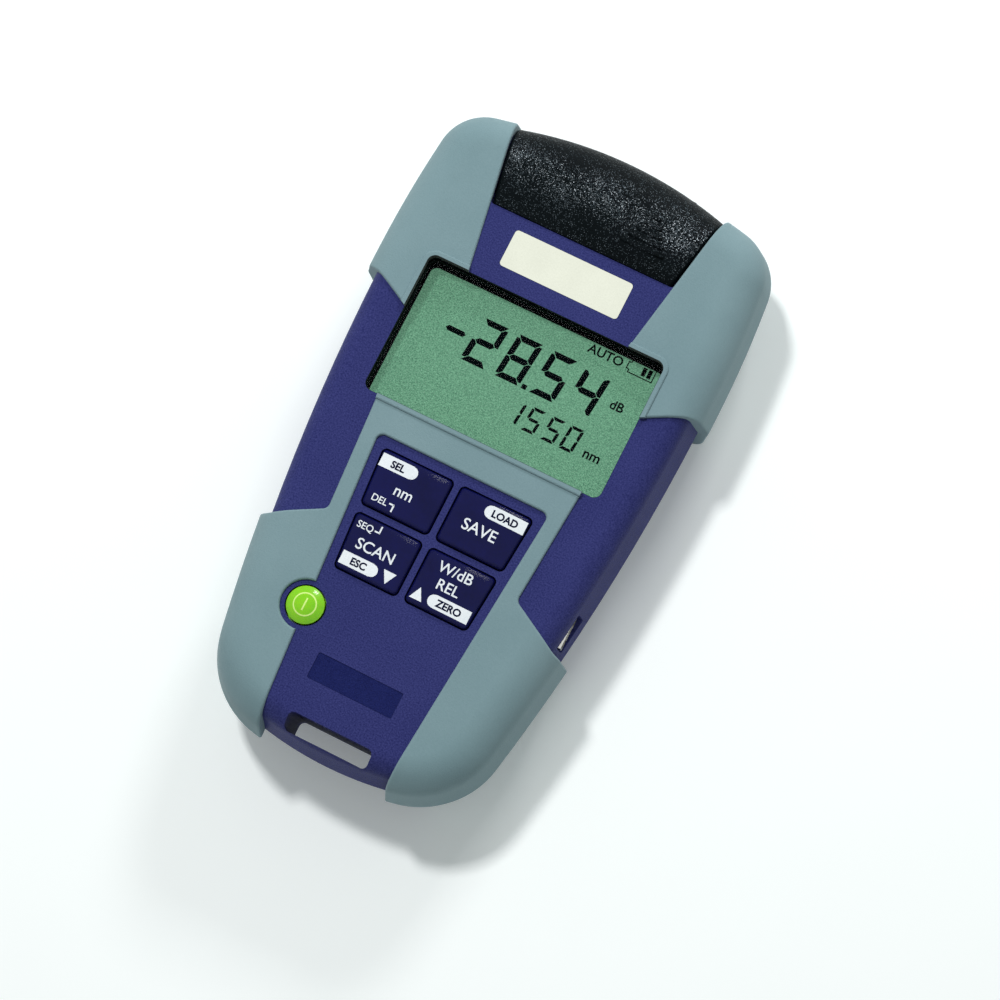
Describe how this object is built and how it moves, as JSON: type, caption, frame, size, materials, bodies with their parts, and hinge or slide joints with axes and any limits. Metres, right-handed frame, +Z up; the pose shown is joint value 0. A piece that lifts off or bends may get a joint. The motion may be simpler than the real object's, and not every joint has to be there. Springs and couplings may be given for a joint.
{
  "type": "optical power meter",
  "caption": "Handheld fibre-optic power meter: blue case with grey bumpers, black flip cover over the port, LCD, four keys, green power button, USB and battery door.",
  "frame": {"origin": "on the table under the middle of the overall length and width, the meter lying on its back", "axes": "+Y along the case towards the end with the optical port, +X to the right seen from the front, +Z up out of the face"},
  "size_m": [0.0822, 0.1472, 0.0315],
  "materials": {
    "shell_blue": "fine-grained ABS, dark blue",
    "bumper_grey": "soft matte overmoulded TPE, grey-green",
    "cover_black": "black ABS with a metallic sparkle",
    "key_navy": "dark navy keys, satin",
    "button_green": "bright green dome, satin",
    "plate_cream": "cream printed plate, bare",
    "inlay_blue": "grained dark blue inlay, bare",
    "window_clear": "clear hard-coated window",
    "mask_black": "matt black mask round the display",
    "lcd_green": "reflective LCD",
    "board_green": "solder mask over glass laminate",
    "chip_black": "moulded packages",
    "stem_white": "moulded plungers",
    "steel": "plated steel",
    "nickel": "nickel-plated",
    "ceramic_white": "zirconia sleeve",
    "cell_sleeve": "plain sleeve, bare"
  },
  "bodies": {
    "meter_body": {"bumper_top_left": "bumper_grey", "bumper_top_right": "bumper_grey", "bumper_lower": "bumper_grey", "rear_bumper_top_left": "bumper_grey", "rear_bumper_top_right": "bumper_grey", "rear_bumper_bottom_left": "bumper_grey", "rear_bumper_bottom_right": "bumper_grey", "front_shell": "shell_blue", "rear_shell": "shell_blue", "cover_hinge_pin": "steel", "name_plate": "plate_cream", "label_inlay": "inlay_blue", "display_window": "window_clear", "display_bezel": "mask_black", "lcd_module": "lcd_green", "main_board": "board_green", "board_chips": "chip_black", "switch_bodies": "chip_black", "optical_adapter": "nickel", "ferrule_sleeve": "ceramic_white", "photodiode_housing": "steel", "adapter_screws": "steel", "usb_socket": "nickel", "battery_cell_a": "cell_sleeve", "battery_cell_b": "cell_sleeve", "cell_contacts": "nickel", "shell_screws": "steel", "board_screws": "steel"},
    "cover": {"end_cover": "cover_black"},
    "door": {"battery_door": "shell_blue"},
    "key_wavelength_body": {"key_wavelength": "key_navy", "plunger_wavelength": "stem_white"},
    "key_memory_body": {"key_memory": "key_navy", "plunger_memory": "stem_white"},
    "key_scan_body": {"key_scan": "key_navy", "plunger_scan": "stem_white"},
    "key_unit_body": {"key_unit": "key_navy", "plunger_unit": "stem_white"},
    "power_body": {"power_button": "button_green", "plunger_power": "stem_white"}
  },
  "joints": [
    {"name": "cover_hinge", "type": "hinge", "parent": "meter_body", "child": "cover", "pos_m": [0, 0.07179, 0.0126], "axis": [-1, 0, 0], "range_deg": [0, 140]},
    {"name": "door_slide", "type": "slide", "parent": "meter_body", "child": "door", "axis": [0, -1, 0], "range_m": [0, 0.05]},
    {"name": "press_wavelength", "type": "slide", "parent": "meter_body", "child": "key_wavelength_body", "axis": [0, 0, -1], "range_m": [0, 0.0006], "stiffness_N_per_m": 2500},
    {"name": "press_memory", "type": "slide", "parent": "meter_body", "child": "key_memory_body", "axis": [0, 0, -1], "range_m": [0, 0.0006], "stiffness_N_per_m": 2500},
    {"name": "press_scan", "type": "slide", "parent": "meter_body", "child": "key_scan_body", "axis": [0, 0, -1], "range_m": [0, 0.0006], "stiffness_N_per_m": 2500},
    {"name": "press_unit", "type": "slide", "parent": "meter_body", "child": "key_unit_body", "axis": [0, 0, -1], "range_m": [0, 0.0006], "stiffness_N_per_m": 2500},
    {"name": "press_power", "type": "slide", "parent": "meter_body", "child": "power_body", "axis": [0, 0, -1], "range_m": [0, 0.0006], "stiffness_N_per_m": 2500}
  ]
}
